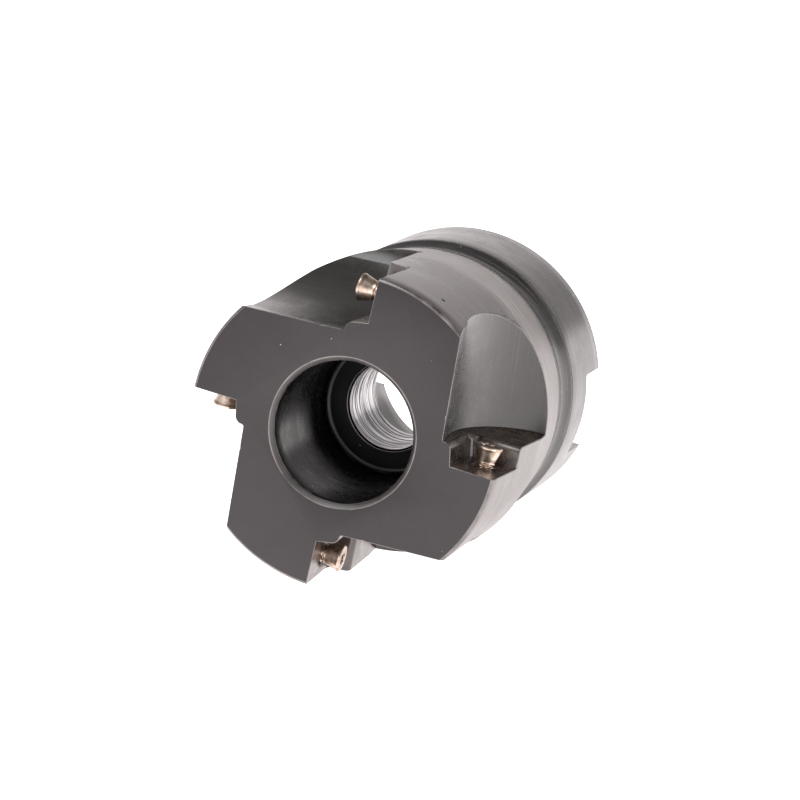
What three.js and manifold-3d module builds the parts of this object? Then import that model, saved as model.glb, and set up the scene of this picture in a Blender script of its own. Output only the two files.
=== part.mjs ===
// Indexable shell face mill, 40 mm class, 4 teeth, 22 mm arbor bore, shown without its inserts.
// It lies on its side: the tool axis runs along Y, the cutting face looks towards -Y and the arbor
// face towards +Y. Depths are measured along the axis from the cutting face.
import * as THREE from 'three';
import { mergeVertices } from 'three/addons/utils/BufferGeometryUtils.js';
import Module from 'manifold-3d';

const wasm = await Module();
wasm.setup();

// Cutter body, all in mm.
const length = 50;
const frontRadius = 19.5;
const faceChamfer = 0.3;
const bandStart = 20.3;
const neckStart = 31.5;
const neckStartRadius = 18.15;
const neckRadius = 17.75;
const neckDepth = 34.6;
const collarStart = 36.9;
const collarRadius = 18.5;
const collarChamfer = 0.4;

// Holes on the tool axis: socket-screw counterbore, screw hole and arbor bore.
const counterboreRadius = 8.75;
const counterboreChamfer = 0.55;
const counterboreDepth = 19.5;
const counterboreFillet = 0.8;
const screwHoleRadius = 5.55;
const arborBoreStart = 30.5;
const arborBoreRadius = 11;
const arborBoreChamfer = 0.4;

// Two drive slots across the arbor face.
const slotWidth = 10.4;
const slotDepth = 6.3;
const slotChamfer = 0.4;

// Teeth. A tooth frame has u outwards along the seat, v away from the seat, and the axis depth.
const toothCount = 4;
const firstToothAngle = THREE.MathUtils.degToRad(27);
const axialRake = THREE.MathUtils.degToRad(3.3);
const wallHeight = 2.7;

// Chip gullet: an elliptical trough that starts at the cutting face and runs out at the light band.
const gulletFloor = 11.35;
const gulletFloorDepth = 7.4;
const gulletReach = 15.3;
const gulletRise = 8.6;
const gulletMouth = 12.25;
const gulletCrease = THREE.MathUtils.degToRad(11.5);
const gulletSkew = THREE.MathUtils.degToRad(4.1);
const gulletSweep = 30;

// Insert pocket sunk in the wall at the end of the gullet, for an 11 x 6.35 mm insert.
const pocketInnerWall = 13.7;
const pocketRearInner = 9.6;
const pocketRearOuter = 10.7;
const reliefRadius = 0.9;

// Insert clamp screw, M2.5 with a countersunk six-lobe head, standing proud of the empty seat.
const screwAlongSeat = 16.6;
const screwDepth = 5.6;
// How far each screw, by tooth, is turned out of its hole from the first screw's depth.
const screwTurnedOut = [0, -0.3, 0, 1.1];
const headTop = 2.8;
const headRadius = 1.72;
const headRim = 0.35;
const coneLength = 1.6;
const shankRadius = 1.2;
const shankTip = 0.3;
const shankEnd = -3.8;
const driveLobes = 6;
const driveRadius = 0.78;
const driveWave = 0.16;
const driveDepth = 1.1;
const threadHoleRadius = 1.6;
const threadHoleDepth = 5.4;

const roundSegments = 72;
const smallSegments = 24;
const curveSegments = 12;
const neckSteps = 9;
const filletSteps = 4;
const pointsPerLobe = 4;
const clear = 2;
const weld = 1e-5;

const steel = new THREE.MeshStandardMaterial({ color: 0x565254, roughness: 0.45, metalness: 0.85 });
const screwSteel = new THREE.MeshStandardMaterial({ color: 0x9c8a76, roughness: 0.3, metalness: 1 });

function toSolid(geometry) {
  const bare = geometry.clone();
  bare.deleteAttribute('normal');
  bare.deleteAttribute('uv');
  const merged = mergeVertices(bare, weld);
  return new wasm.Manifold(new wasm.Mesh({
    numProp: 3,
    vertProperties: merged.attributes.position.array,
    triVerts: Uint32Array.from(merged.index.array),
  }));
}

function toGeometry(solid) {
  const mesh = solid.getMesh();
  const geometry = new THREE.BufferGeometry();
  geometry.setAttribute('position', new THREE.BufferAttribute(new Float32Array(mesh.vertProperties), 3));
  geometry.setIndex(new THREE.BufferAttribute(new Uint32Array(mesh.triVerts), 1));
  geometry.computeVertexNormals();
  return geometry;
}

// Points of a round arc in the (radius, depth) plane, from one angle to another.
function arc(centreRadius, centreDepth, radius, from, to, steps) {
  return Array.from({ length: steps + 1 }, (_, i) => {
    const angle = from + (to - from) * i / steps;
    const out = radius * Math.cos(angle);
    const along = radius * Math.sin(angle);
    return new THREE.Vector2(centreRadius + out, centreDepth + along);
  });
}

// The light band falls smoothly to the neck, which rises again to the sharp edge of the collar.
function neckPoints(steps) {
  const curve = new THREE.SplineCurve([
    new THREE.Vector2(frontRadius, bandStart),
    new THREE.Vector2(neckStartRadius, neckStart),
    new THREE.Vector2(neckRadius, neckDepth),
    new THREE.Vector2(collarRadius, collarStart),
  ]);
  return curve.getPoints(steps);
}

// The turned blank: outline from the counterbore mouth over the outside and back through the bore.
function turnedBlank() {
  const floorCorner = arc(counterboreRadius - counterboreFillet, counterboreDepth - counterboreFillet,
    counterboreFillet, Math.PI / 2, 0, filletSteps);
  const outline = [
    new THREE.Vector2(counterboreRadius + counterboreChamfer, 0),
    new THREE.Vector2(frontRadius - faceChamfer, 0),
    new THREE.Vector2(frontRadius, faceChamfer),
    ...neckPoints(neckSteps),
    new THREE.Vector2(collarRadius, length - collarChamfer),
    new THREE.Vector2(collarRadius - collarChamfer, length),
    new THREE.Vector2(arborBoreRadius + arborBoreChamfer, length),
    new THREE.Vector2(arborBoreRadius, length - arborBoreChamfer),
    new THREE.Vector2(arborBoreRadius, arborBoreStart),
    new THREE.Vector2(screwHoleRadius, arborBoreStart),
    new THREE.Vector2(screwHoleRadius, counterboreDepth),
    ...floorCorner,
    new THREE.Vector2(counterboreRadius, counterboreChamfer),
    new THREE.Vector2(counterboreRadius + counterboreChamfer, 0),
  ];
  return toSolid(new THREE.LatheGeometry(outline, roundSegments));
}

// Extrudes an outline drawn in (u, depth) along v, between two heights over the seat.
function prism(outline, from, to) {
  const settings = { depth: to - from, bevelEnabled: false, curveSegments };
  const geometry = new THREE.ExtrudeGeometry(outline, settings);
  geometry.translate(0, 0, from);
  return geometry;
}

// A round pin or hole along v.
function roundPin(radius, from, to) {
  const geometry = new THREE.CylinderGeometry(radius, radius, to - from, smallSegments);
  geometry.rotateX(Math.PI / 2);
  geometry.translate(screwAlongSeat, screwDepth, (from + to) / 2);
  return geometry;
}

// The gullet trough is swept slightly askew, and ends at a flat wall parallel to the seat.
function gulletCutter() {
  const outside = 2 * frontRadius;
  const centre = gulletFloor + gulletRise;
  const start = Math.PI + gulletCrease;
  const outline = new THREE.Shape();
  outline.moveTo(gulletMouth, -clear);
  outline.lineTo(gulletMouth, 0);
  outline.absellipse(centre, gulletFloorDepth, gulletRise, gulletReach, start, Math.PI / 2, true);
  outline.lineTo(outside, gulletFloorDepth + gulletReach);
  outline.lineTo(outside, -clear);
  const trough = prism(outline, -clear, gulletSweep);
  trough.rotateY(-gulletSkew);
  trough.translate(wallHeight * Math.tan(gulletSkew), 0, 0);
  const room = new THREE.BoxGeometry(2 * outside, 2 * outside, gulletSweep);
  room.translate(outside, 0, wallHeight + gulletSweep / 2);
  return toSolid(trough).intersect(toSolid(room));
}

// The insert pocket: seat, inner wall, slightly leaning rear wall and a round corner relief.
function pocketCutter() {
  const outside = frontRadius + clear;
  const pocket = new THREE.Shape();
  pocket.moveTo(pocketInnerWall, -clear);
  pocket.lineTo(outside, -clear);
  pocket.lineTo(outside, pocketRearOuter);
  pocket.lineTo(pocketInnerWall, pocketRearInner);
  const inset = reliefRadius / 2;
  const relief = new THREE.Shape();
  relief.absarc(pocketInnerWall + inset, pocketRearInner - inset, reliefRadius, 0, 2 * Math.PI);
  const reliefTool = toSolid(prism(relief, 0, wallHeight + clear));
  return toSolid(prism(pocket, 0, wallHeight + clear)).add(reliefTool);
}

function toothCutter() {
  const hole = toSolid(roundPin(threadHoleRadius, -threadHoleDepth, clear));
  return gulletCutter().add(pocketCutter()).add(hole);
}

function slotCutter() {
  const half = slotWidth / 2;
  const mouth = half + slotChamfer;
  const outline = new THREE.Shape([
    new THREE.Vector2(-half, length - slotDepth),
    new THREE.Vector2(half, length - slotDepth),
    new THREE.Vector2(half, length - slotChamfer),
    new THREE.Vector2(mouth, length),
    new THREE.Vector2(mouth, length + clear),
    new THREE.Vector2(-mouth, length + clear),
    new THREE.Vector2(-mouth, length),
    new THREE.Vector2(-half, length - slotChamfer),
  ]);
  const slot = prism(outline, -2 * collarRadius, 2 * collarRadius);
  slot.rotateY(firstToothAngle + Math.PI / 2);
  return toSolid(slot);
}

function toothAngle(index) {
  return firstToothAngle + index * 2 * Math.PI / toothCount;
}

// Placement of a tooth frame: turned to its tooth, then leaned by the axial rake.
function toothMatrix(index) {
  const turn = new THREE.Matrix4().makeRotationY(toothAngle(index));
  return turn.multiply(new THREE.Matrix4().makeRotationX(-axialRake));
}

function cutterBody() {
  let solid = turnedBlank().subtract(slotCutter());
  const tooth = toGeometry(toothCutter());
  for (let index = 0; index < toothCount; index++) {
    solid = solid.subtract(toSolid(tooth.clone().applyMatrix4(toothMatrix(index))));
  }
  const body = new THREE.Mesh(toGeometry(solid), steel);
  body.name = 'cutter_body';
  return body;
}

// Six-lobe drive recess: a circle whose radius waves six times.
function driveOutline() {
  const count = pointsPerLobe * driveLobes;
  const points = Array.from({ length: count }, (_, i) => {
    const angle = i * 2 * Math.PI / count;
    const radius = driveRadius + driveWave * Math.cos(driveLobes * angle);
    return new THREE.Vector2(radius * Math.cos(angle), radius * Math.sin(angle));
  });
  return new THREE.Shape(points);
}

// The screw is turned about its own axis, with its head up along +Z and the empty seat at height 0.
function screwGeometry() {
  const coneEnd = headTop - headRim - coneLength;
  const turned = new THREE.LatheGeometry([
    new THREE.Vector2(0, shankEnd),
    new THREE.Vector2(shankRadius - shankTip, shankEnd),
    new THREE.Vector2(shankRadius, shankEnd + shankTip),
    new THREE.Vector2(shankRadius, coneEnd),
    new THREE.Vector2(headRadius, headTop - headRim),
    new THREE.Vector2(headRadius, headTop),
    new THREE.Vector2(0, headTop),
  ], smallSegments);
  turned.rotateX(Math.PI / 2);
  const recess = prism(driveOutline(), headTop - driveDepth, headTop + clear);
  return toGeometry(toSolid(turned).subtract(toSolid(recess)));
}

function insertScrew(index, geometry) {
  const screw = new THREE.Mesh(geometry, screwSteel);
  screw.name = `insert_screw_${index + 1}`;
  screw.position.set(screwAlongSeat, screwDepth, screwTurnedOut[index]);
  return screw;
}

function buildMill() {
  const mill = new THREE.Group();
  const body = cutterBody();
  body.geometry.computeBoundingBox();
  mill.add(body);
  const screw = screwGeometry();
  for (let index = 0; index < toothCount; index++) {
    const tooth = new THREE.Group();
    tooth.applyMatrix4(toothMatrix(index));
    tooth.add(insertScrew(index, screw));
    mill.add(tooth);
  }
  mill.position.set(0, -length / 2, -body.geometry.boundingBox.min.z);
  return mill;
}

export default buildMill();
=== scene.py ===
import math

import bmesh
import bpy
import numpy as np
from mathutils import Matrix, Vector


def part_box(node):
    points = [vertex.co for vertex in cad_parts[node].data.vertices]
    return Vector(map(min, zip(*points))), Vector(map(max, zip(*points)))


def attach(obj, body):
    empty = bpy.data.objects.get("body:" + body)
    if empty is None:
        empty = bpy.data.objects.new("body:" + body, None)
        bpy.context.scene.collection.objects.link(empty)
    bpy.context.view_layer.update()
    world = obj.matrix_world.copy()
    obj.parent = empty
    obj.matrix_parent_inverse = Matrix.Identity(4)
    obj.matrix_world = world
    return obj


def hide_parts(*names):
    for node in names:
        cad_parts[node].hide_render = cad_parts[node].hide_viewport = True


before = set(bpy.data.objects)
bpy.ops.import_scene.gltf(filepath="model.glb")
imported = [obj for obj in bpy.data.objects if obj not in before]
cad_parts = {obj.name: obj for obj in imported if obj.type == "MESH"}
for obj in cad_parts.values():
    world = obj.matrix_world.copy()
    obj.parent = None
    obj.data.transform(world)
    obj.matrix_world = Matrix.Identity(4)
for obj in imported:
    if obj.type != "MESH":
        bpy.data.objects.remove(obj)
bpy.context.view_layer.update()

# Shapes are worked out in millimetres in the tool's own coordinates: x to the right, y the depth
# from the cutting face, z up from the tool axis. toolToRow takes them to metres in the row frame.
mmPerMetre = 1000
bodyLow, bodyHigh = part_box("cutter_body")
axisHeight = (bodyLow.z + bodyHigh.z) / 2
facePlace = ((bodyLow.x + bodyHigh.x) / 2, bodyLow.y, axisHeight)
toolToRow = Matrix.Translation(facePlace) @ Matrix.Scale(1 / mmPerMetre, 4)

# The zones of the cutter body, one material each, in the order of its material slots.
zones = ["face", "edge", "outside", "band", "collar", "bore", "grooves", "counterbore", "gullet",
         "wall", "pocket", "counterboreFloor", "counterboreRim"]


def pieceFrom(name, points, faces, faceZone=None):
    # A closed mesh from arrays of points and faces, turned outwards if its volume comes out negative.
    mesh = bpy.data.meshes.new(name)
    mesh.from_pydata(np.asarray(points, float).tolist(), [], [tuple(face) for face in faces])
    if faceZone is not None:
        mesh.polygons.foreach_set("material_index", np.asarray(faceZone, np.int32))
    shape = bmesh.new()
    shape.from_mesh(mesh)
    if shape.calc_volume(signed=True) < 0:
        bmesh.ops.reverse_faces(shape, faces=shape.faces)
    shape.to_mesh(mesh)
    shape.free()
    piece = bpy.data.objects.new(name, mesh)
    bpy.context.scene.collection.objects.link(piece)
    return piece


def gridFaces(rows, columns, closedRows=False):
    # Quads between neighbouring points of a grid whose columns go round and close on themselves.
    row = np.arange(rows if closedRows else rows - 1)[:, None]
    column = np.arange(columns)[None, :]
    nextRow, nextColumn = (row + 1) % rows, (column + 1) % columns
    quads = [row * columns + column, row * columns + nextColumn,
             nextRow * columns + nextColumn, nextRow * columns + column]
    return np.stack(np.broadcast_arrays(*quads), -1).reshape(-1, 4)


def cappedFaces(rows, columns):
    # The quads of a grid that goes round, and a flat face to close its first row and its last.
    last = (rows - 1) * columns
    firstCap, lastCap = list(range(columns))[::-1], list(range(last, last + columns))
    return [*gridFaces(rows, columns).tolist(), firstCap, lastCap]


def arcPoints(centre, radius, start, end, steps):
    # Points on a circle about centre, from one angle to another in degrees.
    angle = np.radians(np.linspace(start, end, steps + 1))
    return np.stack([centre[0] + radius * np.cos(angle), centre[1] + radius * np.sin(angle)], 1)


def refine(points, longest):
    # The same open outline with extra points, so that no side is longer than longest.
    points = np.asarray(points, float)
    parts = []
    for a, b in zip(points[:-1], points[1:]):
        count = max(1, math.ceil(np.linalg.norm(b - a) / longest))
        parts.append(a + (b - a) * np.arange(count)[:, None] / count)
    return np.concatenate([*parts, points[-1:]])


# The turned blank: depths are from the cutting face, and around and the rows set how fine it is.
turned = {
    "length": 50.0, "frontRadius": 19.5, "faceChamfer": 0.28,
    "bandStart": 20.3, "neckStart": 31.5, "neckStartRadius": 18.15,
    "neckDepth": 34.6, "neckRadius": 17.75,
    "collarStart": 36.9, "collarRadius": 18.5, "collarChamfer": 0.4,
    "counterboreRadius": 8.75, "counterboreChamfer": 0.55,
    "counterboreDepth": 19.5, "counterboreFillet": 0.8,
    "screwHoleRadius": 5.55, "screwHoleChamfer": 0.3,
    "arborBoreStart": 30.5, "arborBoreRadius": 11.0, "arborBoreChamfer": 0.4,
    "edgeRound": 0.12, "around": 288, "rowLength": 2.4, "neckRows": 12,
    "groovePitch": 0.58, "grooveHeight": 0.075, "grooveWander": 0.8, "grooveUneven": 0.4,
    "rowsPerGroove": 7,
}


def neckCurve():
    # Catmull-Rom curve through the band's start, the neck's start and lowest point, and the collar.
    # Each of its three parts has neckRows rows.
    t = turned
    knots = np.array([(t["frontRadius"], t["bandStart"]), (t["neckStartRadius"], t["neckStart"]),
                      (t["neckRadius"], t["neckDepth"]), (t["collarRadius"], t["collarStart"])])
    padded = np.concatenate([knots[:1], knots, knots[-1:]])
    along = np.linspace(0, 3, 3 * t["neckRows"] + 1)
    first = np.minimum(along.astype(int), 2)
    f = (along - first)[:, None]
    p0, p1, p2, p3 = (padded[first + i] for i in range(4))
    return 0.5 * (2 * p1 + (p2 - p0) * f + (2 * p0 - 5 * p1 + 4 * p2 - p3) * f ** 2
                  + (3 * p1 - p0 - 3 * p2 + p3) * f ** 3)


def turnedOutline():
    # The blank's (radius, depth) outline all the way round, as stretches that each have a zone.
    t = turned
    radii = ("frontRadius", "collarRadius", "counterboreRadius", "screwHoleRadius", "arborBoreRadius")
    front, collar, wall, hole, bore = (t[key] for key in radii)
    rear, chamfer, floor = t["length"], t["collarChamfer"], t["counterboreDepth"]
    fillet, rounding, holeChamfer = t["counterboreFillet"], t["edgeRound"], t["screwHoleChamfer"]
    mouth, boreMouth = wall + t["counterboreChamfer"], bore + t["arborBoreChamfer"]
    holeStart, holeEnd = floor + holeChamfer, t["arborBoreStart"] - holeChamfer
    grooveRows = int(t["rowsPerGroove"] * (holeEnd - holeStart) / t["groovePitch"])
    collarEdge = arcPoints((collar - rounding, t["collarStart"] + rounding), rounding, -65, 0, 4)
    floorCorner = arcPoints((wall - fillet, floor - fillet), fillet, 90, 0, 8)
    stretches = [
        ("face", [(mouth, 0), (front - t["faceChamfer"], 0)]),
        # The chamfers are the edge zone, drawn as a pale painted highlight.
        ("edge", [(front - t["faceChamfer"], 0), (front, t["faceChamfer"])]),
        ("outside", [(front, t["faceChamfer"]), (front, t["bandStart"])]),
        ("band", neckCurve()[:t["neckRows"] + 1]),
        ("collar", neckCurve()[t["neckRows"]:-1]),
        ("collar", [*collarEdge, (collar, rear - chamfer)]),
        ("edge", [(collar, rear - chamfer), (collar - chamfer, rear)]),
        ("face", [(collar - chamfer, rear), (boreMouth, rear)]),
        ("edge", [(boreMouth, rear), (bore, rear - t["arborBoreChamfer"])]),
        ("bore", [(bore, rear - t["arborBoreChamfer"]), (bore, t["arborBoreStart"]),
                  (hole + holeChamfer, t["arborBoreStart"])]),
        ("grooves", np.stack([np.full(grooveRows, hole),
                              np.linspace(holeEnd, holeStart, grooveRows)], 1)),
        # The counterbore's floor and wall carry painted shade, its chamfer a painted highlight.
        ("counterboreFloor", [(hole + 0.2, floor), floorCorner[0]]),
        ("counterbore", [*floorCorner, (wall, t["counterboreChamfer"])]),
        ("counterboreRim", [(wall, t["counterboreChamfer"]), (mouth, 0)]),
    ]
    points, zoneOfSide = [], []
    for zone, stretch in stretches:
        stretch = refine(stretch, t["rowLength"])
        if points and np.linalg.norm(stretch[0] - points[-1]) < 1e-6:
            stretch = stretch[1:]
        zoneOfSide += [zones.index(zone)] * (len(stretch) if points else len(stretch) - 1)
        points += list(stretch)
    return np.array(points[:-1]), np.array(zoneOfSide)


def turnedBlank():
    # The outline carried round the axis: (r, d) goes to (r cos a, d, r sin a). In the screw hole r
    # waves once for each pitch of depth and slips one pitch for each turn, so the tool marks are
    # helical, and a slower wave makes them uneven.
    t = turned
    outline, zoneOfSide = turnedOutline()
    angle = np.linspace(0, 2 * np.pi, t["around"], endpoint=False)[None, :]
    radius, depth = (np.repeat(outline[:, i:i + 1], t["around"], 1) for i in (0, 1))
    marked = (np.abs(radius - t["screwHoleRadius"]) < 1e-6) & (depth > t["counterboreDepth"])
    turns = depth / t["groovePitch"] - angle / (2 * np.pi)
    wander, spread = t["grooveWander"], t["grooveUneven"]
    ridge = 0.5 - 0.5 * np.cos(2 * np.pi * turns + wander * np.sin(3 * depth + 2 * angle))
    uneven = 1 - spread + spread * np.sin(2.7 * turns + 1.3 * np.sin(1.1 * turns + 2 * angle))
    radius = radius - np.where(marked, t["grooveHeight"] * ridge * uneven, 0)
    points = np.stack([radius * np.cos(angle), depth, radius * np.sin(angle)], -1).reshape(-1, 3)
    faces = gridFaces(len(outline), t["around"], closedRows=True)
    return pieceFrom("cutterBodySteel", points, faces, np.repeat(zoneOfSide, t["around"]))


# A tooth's coordinates are u outwards along the insert seat, the depth, and v away from the seat.
# Angles are in degrees, and each reach is how far a cutter goes, past the blank's outside.
tooth = {
    "count": 4, "firstAngle": 27.0, "axialRake": 3.3, "wallHeight": 2.7, "reach": 30.0,
    "gulletFloor": 11.35, "gulletFloorDepth": 7.4, "gulletReach": 15.3, "gulletRise": 8.6,
    "gulletMouth": 12.25, "gulletCrease": 11.5, "gulletSkew": 4.1, "gulletSweep": 26.0,
    "cornerFillet": 0.25, "pocketInner": 13.9, "pocketLean": 0.2, "pocketRearInner": 9.6,
    "pocketRearOuter": 10.7, "pocketReach": 24.0, "relief": 0.85, "mouthRound": 0.75,
    "screwAlong": 16.6, "screwDepth": 5.6, "holeRadius": 1.34, "holeDepth": 5.4,
    "holeCountersink": 0.3,
}
driveSlot = {"width": 10.4, "depth": 6.3, "chamfer": 0.4, "fillet": 0.4, "reach": 25.0}
dent = {"centre": (14.62, 4.7, 13.0), "radius": 0.27, "around": 20, "rings": 9}
edgeBreak = {"width": 0.08, "sharpAngle": 32, "mergeWithin": 0.004, "flatAngle": 0.002}


def grownOutline(outline, distance):
    # Each point of a closed outline moves out along the mean of its two sides' normals.
    ahead = np.roll(outline, -1, 0)
    side = ahead - outline
    normal = np.stack([side[:, 1], -side[:, 0]], 1) / np.linalg.norm(side, axis=1)[:, None]
    mean = normal + np.roll(normal, 1, 0)
    mean = 2 * mean / np.maximum((mean ** 2).sum(1), 0.5)[:, None]
    area = (outline[:, 0] * ahead[:, 1] - outline[:, 1] * ahead[:, 0]).sum()
    return outline + np.sign(area) * distance * mean


def carriedOutline(name, outline, heights, grow, zone, skew=0.0):
    # An outline in (u, depth) carried along v: at each height it has grown by so much and has slid
    # back along u by the skew. A flat face closes each end.
    heights, grow = np.broadcast_arrays(np.asarray(heights, float), grow)
    rows = []
    for v, g in zip(heights, grow):
        flat = grownOutline(outline, g) - [skew * (v - heights[0]), 0]
        rows.append(np.column_stack([flat, np.full(len(outline), v)]))
    faces = cappedFaces(len(rows), len(outline))
    faceZone = [zones.index(zone)] * len(faces)
    if zone == "gullet":  # its first cap cuts the flat wall above the insert seat
        faceZone[-2] = zones.index("wall")
    return pieceFrom(name, np.concatenate(rows), faces, faceZone)


def gulletTool():
    # A quarter of an ellipse from the crease near the face to where the gullet runs out, with a
    # small fillet along the flat wall: there the outline grows as v rises, by a quarter circle.
    t = tooth
    outside, fillet = t["reach"], t["cornerFillet"]
    angle = np.radians(np.linspace(180 + t["gulletCrease"], 90, 64))
    curve = np.stack([t["gulletFloor"] + t["gulletRise"] * (1 + np.cos(angle)),
                      t["gulletFloorDepth"] + t["gulletReach"] * np.sin(angle)], 1)
    mouth = np.array([t["gulletMouth"], 0])
    ahead = mouth + (mouth - curve[0]) * 0.5
    outline = np.concatenate([[ahead], curve, [(outside, curve[-1, 1]), (outside, ahead[1])]])
    turn = np.radians(np.linspace(0, 90, 3))
    heights = [*(t["wallHeight"] + fillet * (1 - np.cos(turn))), t["gulletSweep"]]
    grow = [*(-fillet * (1 - np.sin(turn))), 0]
    skew = math.tan(math.radians(t["gulletSkew"]))
    return carriedOutline("gulletTool", outline, heights, grow, "gullet", skew)


def pocketTool():
    # Seat, inner wall, leaning rear wall and a round relief in their corner. The outline grows by a
    # quarter circle towards the flat wall, which rounds the pocket's mouth.
    t = tooth
    outside, front, inset = t["pocketReach"], -2.0, t["relief"] / 2
    inner, rear = t["pocketInner"], t["pocketRearInner"]
    relief = arcPoints((inner + inset, rear - inset), t["relief"], 235, 35, 24)
    outline = np.array([(outside, front), (inner, front), *relief, (outside, t["pocketRearOuter"])])
    turn = np.radians(np.linspace(0, 90, 6))
    rounding, top = t["mouthRound"], t["wallHeight"]
    heights = [0, *(top - rounding + rounding * np.sin(turn)), top + 3]
    grow = [0, *(rounding * (1 - np.cos(turn))), rounding]
    return carriedOutline("pocketTool", outline, heights, grow, "pocket", t["pocketLean"])


def holeTool():
    # Tapped hole for the clamp screw, with a small countersink at the seat.
    t = tooth
    outline = arcPoints((t["screwAlong"], t["screwDepth"]), t["holeRadius"], 0, 360, 48)[:-1]
    wider = t["holeCountersink"]
    heights, grow = [-t["holeDepth"], 0.05 - wider, 0.05, 1], [0, 0, wider, wider]
    return carriedOutline("holeTool", outline, heights, grow, "pocket")


def slotTool():
    # Drive slot across the arbor face, with broken mouth edges and small floor fillets.
    s = driveSlot
    half, fillet, chamfer, rear = s["width"] / 2, s["fillet"], s["chamfer"], turned["length"]
    floor = rear - s["depth"]
    corner = arcPoints((half - fillet, floor + fillet), fillet, -90, 0, 6)
    mouth = [(half, rear - chamfer), (half + chamfer, rear), (half + chamfer, rear + 2)]
    right = np.concatenate([corner, mouth])
    outline = np.concatenate([right, right[::-1] * [-1, 1]])
    return carriedOutline("slotTool", outline, [-s["reach"], s["reach"]], 0, "pocket")


def dentTool():
    # A ball that leaves a nick in a lobe: each ring's radius is the cosine of its tilt, and its
    # height is the sine.
    d = dent
    tilt = np.linspace(-np.pi / 2, np.pi / 2, d["rings"] + 2)[1:-1, None]
    angle = np.linspace(0, 2 * np.pi, d["around"], endpoint=False)[None, :]
    ring, height = np.cos(tilt), np.sin(tilt)
    ball = np.stack([ring * np.cos(angle), ring * np.sin(angle), height + 0 * angle], -1)
    points = np.array(d["centre"]) + d["radius"] * ball.reshape(-1, 3)
    faces = cappedFaces(d["rings"], d["around"])
    # The nick takes the counterbore floor's near-black finish: painted shade inside it.
    return pieceFrom("dentTool", points, faces, [zones.index("counterboreFloor")] * len(faces))


def toothMatrix(index):
    # Turns tooth coordinates to their place and leans them back by the axial rake.
    turn = math.radians(tooth["firstAngle"] + 360 / tooth["count"] * index)
    return Matrix.Rotation(turn, 4, "Y") @ Matrix.Rotation(-math.radians(tooth["axialRake"]), 4, "X")


def settle(piece):
    # What the modifiers make becomes the piece's own mesh.
    evaluated = piece.evaluated_get(bpy.context.evaluated_depsgraph_get())
    shaped = bpy.data.meshes.new_from_object(evaluated)
    piece.modifiers.clear()
    piece.data = shaped


def combine(piece, other, operation):
    # Joins or cuts two closed pieces; each face keeps its own zone.
    boolean = piece.modifiers.new("combine", "BOOLEAN")
    boolean.object, boolean.operation = other, operation
    boolean.solver, boolean.material_mode = "EXACT", "INDEX"
    settle(piece)


def breakEdges(piece):
    # Merges stray points and the cutting face's flat parts, then puts a fine chamfer on each
    # convex sharp edge.
    e = edgeBreak
    sharpAngle, onFace = math.radians(e["sharpAngle"]), 0.001
    shape = bmesh.new()
    shape.from_mesh(piece.data)
    bmesh.ops.remove_doubles(shape, verts=shape.verts, dist=e["mergeWithin"])
    bmesh.ops.dissolve_degenerate(shape, edges=shape.edges, dist=e["mergeWithin"])
    front = [vert for vert in shape.verts if vert.co.y < onFace]
    seams = [edge for edge in shape.edges if max(vert.co.y for vert in edge.verts) < onFace]
    bmesh.ops.dissolve_limit(
        shape, angle_limit=e["flatAngle"], verts=front, edges=seams, delimit={"MATERIAL"})
    weight = shape.edges.layers.float.new("bevel_weight_edge")
    for edge in shape.edges:
        if len(edge.link_faces) == 2 and edge.is_convex and edge.calc_face_angle() > sharpAngle:
            edge[weight] = 1
    shape.to_mesh(piece.data)
    shape.free()
    bevel = piece.modifiers.new("edgeBreak", "BEVEL")
    bevel.width, bevel.segments, bevel.limit_method = e["width"], 1, "WEIGHT"
    # The chamfers take the edge zone's pale finish, a painted highlight along each edge.
    bevel.use_clamp_overlap, bevel.material = False, zones.index("edge")
    settle(piece)


def finishShape(piece, matrix, sharpAngle):
    # Puts the mesh in its place in the row frame and keeps edges sharper than the angle crisp.
    piece.data.transform(matrix)
    piece.data.shade_smooth()
    piece.data.set_sharp_from_angle(angle=math.radians(sharpAngle))
    piece.data.update()


def cutterBody():
    # The blank less the drive slots, and less one gullet, pocket and tapped hole for each tooth.
    body = turnedBlank()
    tools = [slotTool(), gulletTool(), pocketTool(), holeTool(), dentTool()]
    slot, cut, pocket, hole, nick = tools
    zoneSlots = [bpy.data.materials.new(zone) for zone in zones]
    for piece in [body, *tools]:
        for material in zoneSlots:
            piece.data.materials.append(material)
    slot.data.transform(Matrix.Rotation(math.radians(tooth["firstAngle"] + 90), 4, "Y"))
    combine(body, slot, "DIFFERENCE")
    combine(cut, pocket, "UNION")
    combine(cut, hole, "UNION")
    uncut = cut.data.copy()
    for index in range(tooth["count"]):
        cut.data = uncut.copy()
        cut.data.transform(toothMatrix(index))
        combine(body, cut, "DIFFERENCE")
    breakEdges(body)
    combine(body, nick, "DIFFERENCE")
    for tool in tools:
        bpy.data.objects.remove(tool)
    return body


# An M2.5 clamp screw: heights are above the insert seat, and turnedOut says how much further out
# each one stands.
screw = {
    "headTop": 2.8, "headRadius": 1.72, "headRim": 0.35, "headEdge": 0.16, "coneLength": 1.6,
    "coneRows": 8, "threadRadius": 1.22, "threadDepth": 0.24, "threadPitch": 0.45,
    "threadRunOut": 0.25, "end": -3.8, "tipCone": 0.3, "poleRadius": 0.0005,
    "driveRadius": 0.78, "driveWave": 0.16, "driveLobes": 6, "driveDepth": 1.1,
    "around": 72, "rowsPerPitch": 8, "sharpAngle": 38, "turnedOut": [0, -0.3, 0, 1.1],
}


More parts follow.
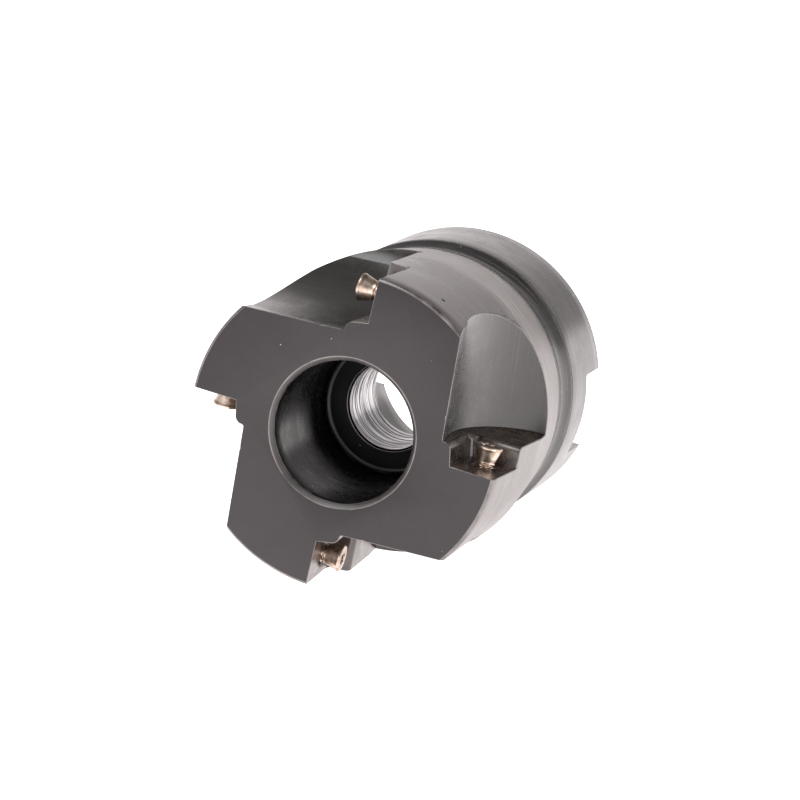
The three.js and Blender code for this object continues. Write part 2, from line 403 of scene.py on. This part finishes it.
def screwPiece(name, matrix):
    # A profile carried round the screw's axis. In the recess r waves six times round, and along the
    # thread r falls to the root once for each pitch, slipping one pitch for each turn. Each row is
    # (r, height, its share of the recess's wave), from the recess's floor to the screw's tip.
    s = screw
    top, head, edge, pole = s["headTop"], s["headRadius"], s["headEdge"], s["poleRadius"]
    rim, core, cone = top - s["headRim"], s["threadRadius"], s["coneRows"]
    coneEnd = top - s["headRim"] - s["coneLength"]
    drive, deep = s["driveRadius"], top - s["driveDepth"]
    count = int(s["rowsPerPitch"] * (coneEnd - s["end"]) / s["threadPitch"])
    thread = np.linspace(coneEnd, s["end"] + s["tipCone"], count)
    rows = np.array([
        (pole, deep - 0.2, 0), (drive * 0.55, deep, 0.4), (drive - 0.04, deep, 1),
        (drive, deep + 0.05, 1), (drive, top - 0.25, 1), (drive, top - 0.08, 1),
        (drive + 0.07, top, 1), (drive + 0.25, top, 0.35), (head - 0.35, top, 0),
        (head - edge, top, 0), (head - edge * 0.3, top - edge * 0.3, 0), (head, top - edge, 0),
        (head, rim + 0.05, 0), (head - 0.03, rim, 0),
        *np.column_stack([np.linspace(head - 0.1, core, cone),
                          np.linspace(rim - 0.12, coneEnd + 0.03, cone), np.zeros(cone)]),
        *np.column_stack([np.full(count, core), thread, np.zeros(count)]),
        (core - s["tipCone"], s["end"], 0), (pole, s["end"], 0)])
    angle = np.linspace(0, 2 * np.pi, s["around"], endpoint=False)[None, :]
    radius, height, wave = (np.repeat(rows[:, i:i + 1], s["around"], 1) for i in range(3))
    radius = radius + s["driveWave"] * wave * np.cos(s["driveLobes"] * angle)
    turns = height / s["threadPitch"] + angle / (2 * np.pi)
    groove = np.clip(2.2 * np.abs((turns % 1) * 2 - 1) - 0.6, 0, 1)
    runOut = np.clip((coneEnd - height) / s["threadRunOut"], 0, 1)
    onThread = (height <= coneEnd) & (height > s["end"] + 0.01)
    radius = radius - np.where(onThread, s["threadDepth"] * groove * runOut, 0)
    points = np.stack([radius * np.cos(angle), radius * np.sin(angle), height], -1).reshape(-1, 3)
    piece = pieceFrom(name, points, cappedFaces(len(rows), s["around"]))
    hole = Matrix.Translation((tooth["screwAlong"], tooth["screwDepth"], 0))
    finishShape(piece, matrix @ hole, s["sharpAngle"])
    return piece


def linearColour(hexColour):
    # An sRGB hex colour as linear RGBA.
    values = [int(hexColour[i:i + 2], 16) / 255 for i in (1, 3, 5)]
    return [v / 12.92 if v <= 0.04045 else ((v + 0.055) / 1.055) ** 2.4 for v in values] + [1]


def addNode(tree, kind, sockets=None, **settings):
    # One node with its settings. A socket is given a value, or the output it is linked from.
    made = tree.nodes.new(kind)
    for key, value in settings.items():
        setattr(made, key, value)
    for key, value in (sockets or {}).items():
        if isinstance(value, bpy.types.NodeSocket):
            tree.links.new(value, made.inputs[key])
        else:
            made.inputs[key].default_value = value
    return made


# The finishes of the cutter body, by zone: base is the oxide's own colour, and the lighter colour
# that of its rubbed patches. On the edges and the counterbore's chamfer the lighter colour is a
# painted highlight, and in the counterbore's wall and floor both colours are darkened by painted
# shade. Marks are drawn out by stretch along (x, depth, z) and scratches run nearly round the tool.
# Sizes are in mm, and hairs and dust are drawn coarser than real ones so that they show.
finishes = {
    # Black oxide over a faced surface: an even, satin charcoal.
    "face": {
        "name": "blackOxideSatin", "base": "#1b1618", "wearAndHighlight": "#272123",
        "roughness": 0.36, "ior": 1.54, "mottle": 6.0, "markWidth": 0.5,
        "stretch": (1, 1, 1), "marks": 0.25, "scratches": 0.0, "dust": 0.2,
    },
    # Chamfers and broken corners: a fine pale line, a painted highlight along every sharp edge.
    "edge": {
        "name": "paintedHighlightEdge", "base": "#2f2b2a", "wearAndHighlight": "#7d7674",
        "roughness": 0.3, "ior": 2.0, "mottle": 2.0, "markWidth": 0.3,
        "stretch": (6, 1, 6), "marks": 0.5, "scratches": 0.1, "dust": 0.0,
    },
    # Black oxide over ground steel: grey and silky at a glancing angle, with marks round the tool.
    "outside": {
        "name": "blackOxideGround", "base": "#2a2625", "wearAndHighlight": "#595250",
        "roughness": 0.28, "ior": 1.97, "mottle": 5.0, "markWidth": 0.14,
        "stretch": (60, 1, 60), "marks": 0.5, "scratches": 0.35, "dust": 0.35,
    },
    # The neck's shoulder, rubbed almost to bare steel: the palest, most scratched part.
    "band": {
        "name": "rubbedBandSteel", "base": "#2b2725", "wearAndHighlight": "#746c68",
        "roughness": 0.34, "ior": 1.8, "mottle": 2.4, "markWidth": 0.12,
        "stretch": (30, 1, 30), "marks": 0.6, "scratches": 0.9, "dust": 0.6,
    },
    # Black oxide over fine turning: the darkest and glossiest outside part.
    "collar": {
        "name": "blackOxideCollar", "base": "#171616", "wearAndHighlight": "#2a2828",
        "roughness": 0.24, "ior": 1.68, "mottle": 5.0, "markWidth": 0.2,
        "stretch": (60, 1, 60), "marks": 0.4, "scratches": 0.2, "dust": 1.0,
    },
    # The arbor bore, ground and only lightly oxidised: mid grey.
    "bore": {
        "name": "blackOxideBore", "base": "#333132", "wearAndHighlight": "#4b494a",
        "roughness": 0.3, "ior": 1.9, "mottle": 4.0, "markWidth": 0.25,
        "stretch": (40, 1, 40), "marks": 0.4, "scratches": 0.2, "dust": 0.0,
    },
    # The counterbore's wall: near black, darker than the face, as painted shade deep in the recess,
    # with one soft streak of light.
    "counterbore": {
        "name": "blackOxideCounterborePaintedShade", "base": "#09090a", "wearAndHighlight": "#101011",
        "roughness": 0.27, "ior": 1.43, "mottle": 4.0, "markWidth": 0.3,
        "stretch": (40, 1, 40), "marks": 0.3, "scratches": 0.1, "dust": 0.4,
    },
    # The counterbore's floor: black and matt, painted shade at the bottom of the recess.
    "counterboreFloor": {
        "name": "blackOxideFloorPaintedShade", "base": "#040405", "wearAndHighlight": "#0c0c0d",
        "roughness": 0.4, "ior": 1.2, "mottle": 3.0, "markWidth": 0.3,
        "stretch": (1, 1, 1), "marks": 0.3, "scratches": 0.0, "dust": 0.3,
    },
    # The counterbore's chamfer: a shade lighter than the face, a painted highlight round the recess's
    # mouth.
    "counterboreRim": {
        "name": "blackOxideRimPaintedHighlight", "base": "#1d191a", "wearAndHighlight": "#3c3735",
        "roughness": 0.48, "ior": 1.85, "mottle": 2.5, "markWidth": 0.3,
        "stretch": (6, 1, 6), "marks": 0.4, "scratches": 0.1, "dust": 0.4,
    },
    # Black oxide over a milled chip gullet: grey sheen with faint lines along the cutter's path.
    "gullet": {
        "name": "blackOxideMilled", "base": "#100e0d", "wearAndHighlight": "#272220",
        "roughness": 0.26, "ior": 1.72, "mottle": 4.0, "markWidth": 0.4,
        "stretch": (2, 20, 2), "marks": 0.4, "scratches": 0.05, "dust": 0.3,
    },
    # The wall above the insert seat, browned by cutting heat and coolant.
    "wall": {
        "name": "blackOxideWall", "base": "#17120f", "wearAndHighlight": "#57483f",
        "roughness": 0.22, "ior": 1.95, "mottle": 2.2, "markWidth": 0.3,
        "stretch": (3, 10, 3), "marks": 0.6, "scratches": 0.15, "dust": 0.3,
    },
    # The empty insert seat: dark brown, with rubbed patches where the insert has sat.
    "pocket": {
        "name": "blackOxidePocket", "base": "#1a1411", "wearAndHighlight": "#57463d",
        "roughness": 0.25, "ior": 1.95, "mottle": 1.4, "markWidth": 0.25,
        "stretch": (3, 6, 3), "marks": 0.6, "scratches": 0.1, "dust": 0.3,
    },
}
# What all of them share: hairs are (slant, width) and run out over many times their width. Dust
# is a grid of grains of which a share is kept.
oxide = {
    "hairs": ((0.16, 0.11), (-0.3, 0.17)), "hairLength": 45, "hairRare": (0.62, 0.72),
    "hairColour": "#b9b1ac", "dustSpacing": 1.3, "dustSize": 0.05, "dustShare": 0.35,
    "dustColour": "#d5d0ca", "relief": 0.02, "reliefStrength": 0.35,
    "smoother": 0.04, "rougher": 0.1,
}


def mixColours(tree, share, under, over):
    # The colour under, turned towards the hex colour over by the share.
    return addNode(tree, "ShaderNodeMix", {
        "Factor": share, 6: under, 7: linearColour(over)}, data_type="RGBA").outputs[2]


def oxideFinish(material, look):
    # Blackened steel: a dark iron oxide skin that is dull face on and pale at a glancing angle, with
    # cloudy patches, cutter marks, hairline scratches where the steel shines through, and dust.
    material.name = look["name"]
    material.use_nodes = True
    tree = material.node_tree
    tree.nodes.clear()
    where = addNode(tree, "ShaderNodeTexCoord").outputs["Object"]
    centred = addNode(tree, "ShaderNodeMapping", {
        "Vector": where, "Location": (0, 0, -axisHeight)}).outputs[0]
    cloud = addNode(tree, "ShaderNodeTexNoise", {
        "Vector": centred, "Scale": mmPerMetre / look["mottle"], "Detail": 7,
        "Roughness": 0.62}).outputs["Fac"]
    drawn = addNode(tree, "ShaderNodeMapping", {
        "Vector": centred, "Scale": tuple(1 / s for s in look["stretch"])}).outputs[0]
    marks = addNode(tree, "ShaderNodeTexNoise", {
        "Vector": drawn, "Scale": mmPerMetre / look["markWidth"] / 2, "Detail": 4,
        "Roughness": 0.55}).outputs["Fac"]
    # The surface unrolled: the way round the tool at its outside radius, and the depth.
    axes = addNode(tree, "ShaderNodeSeparateXYZ", {0: centred}).outputs
    around = addNode(tree, "ShaderNodeMath", {0: axes[0], 1: axes[2]}, operation="ARCTAN2").outputs[0]
    arc = addNode(tree, "ShaderNodeMath", {0: around, 1: turned["frontRadius"] / mmPerMetre},
                  operation="MULTIPLY")
    unrolled = addNode(tree, "ShaderNodeCombineXYZ", {0: arc.outputs[0], 1: axes[1]}).outputs[0]
    hairs = []
    for slant, width in oxide["hairs"]:
        laid = addNode(tree, "ShaderNodeMapping", {
            "Vector": unrolled, "Rotation": (0, 0, slant),
            "Scale": (1 / oxide["hairLength"], 1, 1)}).outputs[0]
        hair = addNode(tree, "ShaderNodeTexNoise", {
            "Vector": laid, "Scale": mmPerMetre / width / 2, "Detail": 2,
            "Roughness": 0.5}).outputs["Fac"]
        hairs.append(addNode(tree, "ShaderNodeMapRange", {
            "Value": hair, "From Min": oxide["hairRare"][0], "From Max": oxide["hairRare"][1],
            "To Min": 0.0, "To Max": look["scratches"]}).outputs[0])
    scratch = addNode(tree, "ShaderNodeMath", {0: hairs[0], 1: hairs[1]},
                      operation="MAXIMUM").outputs[0]
    grains = addNode(tree, "ShaderNodeTexVoronoi", {
        "Vector": centred, "Scale": mmPerMetre / oxide["dustSpacing"]})
    speck = addNode(tree, "ShaderNodeMath", {0: grains.outputs["Distance"], 1: oxide["dustSize"]},
                    operation="LESS_THAN").outputs[0]
    rarity = addNode(tree, "ShaderNodeSeparateColor", {"Color": grains.outputs["Color"]}).outputs[0]
    kept = addNode(tree, "ShaderNodeMath", {0: rarity, 1: look["dust"] * oxide["dustShare"]},
                   operation="LESS_THAN").outputs[0]
    dust = addNode(tree, "ShaderNodeMath", {0: speck, 1: kept}, operation="MULTIPLY").outputs[0]
    cloudy = addNode(tree, "ShaderNodeMapRange", {
        "Value": cloud, "From Min": 0.38, "From Max": 0.72,
        "To Min": 0.0, "To Max": 1 - look["marks"] * 0.5})
    streaky = addNode(tree, "ShaderNodeMapRange", {
        "Value": marks, "From Min": 0.42, "From Max": 0.72, "To Min": 0.0, "To Max": look["marks"]})
    # The lighter colour goes where the clouds and marks are: rubbed patches, and on the edges and the
    # counterbore's chamfer a painted highlight.
    wearAndHighlight = addNode(tree, "ShaderNodeMath", {0: cloudy.outputs[0], 1: streaky.outputs[0]},
                   operation="ADD", use_clamp=True).outputs[0]
    colour = mixColours(tree, wearAndHighlight, linearColour(look["base"]), look["wearAndHighlight"])
    colour = mixColours(tree, scratch, colour, oxide["hairColour"])
    colour = mixColours(tree, dust, colour, oxide["dustColour"])
    dull = addNode(tree, "ShaderNodeMapRange", {
        "Value": wearAndHighlight, "To Min": look["roughness"] - oxide["smoother"],
        "To Max": look["roughness"] + oxide["rougher"]}).outputs[0]
    relief = addNode(tree, "ShaderNodeMath", {0: marks, 1: scratch}, operation="SUBTRACT").outputs[0]
    bump = addNode(tree, "ShaderNodeBump", {
        "Height": relief, "Strength": oxide["reliefStrength"],
        "Distance": oxide["relief"] / mmPerMetre}).outputs[0]
    shader = addNode(tree, "ShaderNodeBsdfPrincipled", {
        "Base Color": colour, "Roughness": dull, "IOR": look["ior"], "Normal": bump}).outputs[0]
    addNode(tree, "ShaderNodeOutputMaterial", {"Surface": shader})


# The finishes of bare metal. Stretch draws the streaks out along (x, depth, z), in mm.
bareFinishes = {
    # Bare turned steel in the screw hole: bright, with dark residue between the tool marks.
    "grooves": {"name": "bareSteelGrooves", "dark": "#6a6a6c", "light": "#e0e0e2",
                "roughness": 0.3, "streak": 0.3, "stretch": (0.05, 1, 0.05)},
    # Tempered alloy steel of the screws, burnished by use: glossy, with a warm straw grey.
    "screws": {"name": "burnishedScrewSteel", "dark": "#94816f", "light": "#d9c9bb",
               "roughness": 0.3, "streak": 0.9, "stretch": (1, 1, 1)},
}


def bareFinish(material, look):
    # Bare metal: its own colour in every reflection, duller and darker in the low streaks.
    material.name = look["name"]
    material.use_nodes = True
    tree = material.node_tree
    tree.nodes.clear()
    where = addNode(tree, "ShaderNodeTexCoord").outputs["Object"]
    along = addNode(tree, "ShaderNodeMapping", {
        "Vector": where, "Location": (0, 0, -axisHeight), "Scale": look["stretch"]}).outputs[0]
    streaks = addNode(tree, "ShaderNodeTexNoise", {
        "Vector": along, "Scale": mmPerMetre / look["streak"], "Detail": 6,
        "Roughness": 0.6}).outputs["Fac"]
    shade = addNode(tree, "ShaderNodeMapRange", {
        "Value": streaks, "From Min": 0.35, "From Max": 0.62}).outputs[0]
    colour = mixColours(tree, shade, linearColour(look["dark"]), look["light"])
    dull = addNode(tree, "ShaderNodeMapRange", {
        "Value": streaks, "To Min": look["roughness"] + 0.1,
        "To Max": look["roughness"] - 0.1}).outputs[0]
    bump = addNode(tree, "ShaderNodeBump", {
        "Height": streaks, "Strength": 0.3, "Distance": 0.03 / mmPerMetre}).outputs[0]
    shader = addNode(tree, "ShaderNodeBsdfPrincipled", {
        "Base Color": colour, "Metallic": 1.0, "Roughness": dull, "Normal": bump}).outputs[0]
    addNode(tree, "ShaderNodeOutputMaterial", {"Surface": shader})


# Where the camera stands and looks, in metres in the row frame; the lens and sensor are in mm.
view = {
    "place": (0.179935, -0.513493, 0.074489), "forward": (-0.33011, 0.93851, -0.10113),
    "up": (0.17378, 0.16572, 0.97074), "lens": 196.557, "sensor": 36.0, "near": 0.01, "far": 100,
}
# A light table in a white tent, in metres. Rise is the height of the view at which the horizon's
# light fades to the dimmer top, and side is how far right it dims.
studio = {
    "floorRadius": 30.0, "floorCentre": 0.05, "floorRings": 14, "floorSides": 64,
    "floor": "#f4f4f3", "floorGlow": 1.3, "tint": "#fff8f8",
    "horizon": 1.5, "horizonRight": 0.55, "side": (-0.1, 0.35), "rise": (0.28, 0.62),
    "sky": 0.3, "skyRight": -0.2,
    "keyPlace": (0.06, -0.55, 1.1), "keyWidth": 0.8, "keyWatts": 8.0,
}


def placeCamera():
    data = bpy.data.cameras.new("camera")
    data.lens, data.sensor_width = view["lens"], view["sensor"]
    data.clip_start, data.clip_end = view["near"], view["far"]
    camera = bpy.data.objects.new("camera", data)
    bpy.context.scene.collection.objects.link(camera)
    back, up = -Vector(view["forward"]).normalized(), Vector(view["up"]).normalized()
    right = up.cross(back).normalized()
    turn = Matrix((right, back.cross(right), back)).transposed().to_4x4()
    camera.matrix_world = Matrix.Translation(view["place"]) @ turn
    bpy.context.scene.camera = camera


def studioFloor():
    # A disc: each ring of points stands at its radius, at height nought.
    rings, sides = studio["floorRings"], studio["floorSides"]
    radius = np.geomspace(studio["floorCentre"], studio["floorRadius"], rings)[:, None]
    angle = np.linspace(0, 2 * np.pi, sides, endpoint=False)[None, :]
    points = np.stack([radius * np.cos(angle), radius * np.sin(angle), 0 * radius * angle], -1)
    faces = [*gridFaces(rings, sides)[:, ::-1].tolist(), list(range(sides))]
    mesh = bpy.data.meshes.new("studioFloor")
    mesh.from_pydata(points.reshape(-1, 3).tolist(), [], faces)
    floor = bpy.data.objects.new("studioFloor", mesh)
    bpy.context.scene.collection.objects.link(floor)
    paper = bpy.data.materials.new("whitePaper")  # lit from below: matt, even and plain white
    paper.use_nodes = True
    paper.node_tree.nodes.clear()
    shader = addNode(paper.node_tree, "ShaderNodeBsdfPrincipled", {
        "Base Color": linearColour(studio["floor"]), "Roughness": 0.9, "Specular IOR Level": 0.2,
        "Emission Color": linearColour(studio["tint"]),
        "Emission Strength": studio["floorGlow"]}).outputs[0]
    addNode(paper.node_tree, "ShaderNodeOutputMaterial", {"Surface": shader})
    mesh.materials.append(paper)


def softboxTop():
    # A soft square lamp over and before the tool, turned to face its axis.
    data = bpy.data.lights.new("softboxTop", "AREA")
    data.size, data.energy = studio["keyWidth"], studio["keyWatts"]
    lamp = bpy.data.objects.new("softboxTop", data)
    bpy.context.scene.collection.objects.link(lamp)
    place = Vector(studio["keyPlace"])
    turn = (Vector((0, 0, axisHeight)) - place).to_track_quat("-Z", "Y").to_matrix().to_4x4()
    lamp.matrix_world = Matrix.Translation(place) @ turn


def lightTent():
    # White at the horizon, less so to the right; the top is dimmer, and dimmest to the right.
    world = bpy.data.worlds.new("lightTent")
    world.use_nodes = True
    bpy.context.scene.world = world
    tree = world.node_tree
    tree.nodes.clear()
    axes = addNode(tree, "ShaderNodeSeparateXYZ", {
        0: addNode(tree, "ShaderNodeTexCoord").outputs["Generated"]}).outputs
    side = addNode(tree, "ShaderNodeMath", {0: axes[0], 1: studio["skyRight"], 2: studio["sky"]},
                   operation="MULTIPLY_ADD").outputs[0]
    rise = addNode(tree, "ShaderNodeMapRange", {
        "Value": axes[2], "From Min": studio["rise"][0], "From Max": studio["rise"][1]},
        interpolation_type="SMOOTHSTEP").outputs[0]
    low = addNode(tree, "ShaderNodeMapRange", {
        "Value": axes[0], "From Min": studio["side"][0], "From Max": studio["side"][1],
        "To Min": studio["horizon"], "To Max": studio["horizonRight"]},
        interpolation_type="SMOOTHSTEP").outputs[0]
    strength = addNode(tree, "ShaderNodeMix", {"Factor": rise, 2: low, 3: side}).outputs[0]
    background = addNode(tree, "ShaderNodeBackground", {
        "Color": linearColour(studio["tint"]), "Strength": strength}).outputs[0]
    addNode(tree, "ShaderNodeOutputWorld", {"Surface": background})


placeCamera()
studioFloor()
lightTent()
softboxTop()
bpy.context.scene.view_settings.view_transform = "Standard"
print("studio ready")

body = cutterBody()
print("cutter body cut:", len(body.data.polygons), "faces")
finishShape(body, toolToRow, edgeBreak["sharpAngle"])
for slot in body.material_slots:
    if slot.material.name in finishes:
        oxideFinish(slot.material, finishes[slot.material.name])
    else:
        bareFinish(slot.material, bareFinishes["grooves"])
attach(body, "cutter")
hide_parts("cutter_body")
print("cutter body finished")

screwMaterial = bpy.data.materials.new("screw")
bareFinish(screwMaterial, bareFinishes["screws"])
for index in range(tooth["count"]):
    node = f"insert_screw_{index + 1}"
    turnedOut = Matrix.Translation((0, 0, screw["turnedOut"][index]))
    clampScrew = screwPiece(f"clampScrew{index + 1}", toolToRow @ toothMatrix(index) @ turnedOut)
    clampScrew.data.materials.append(screwMaterial)
    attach(clampScrew, node)
    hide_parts(node)
print("screws finished")
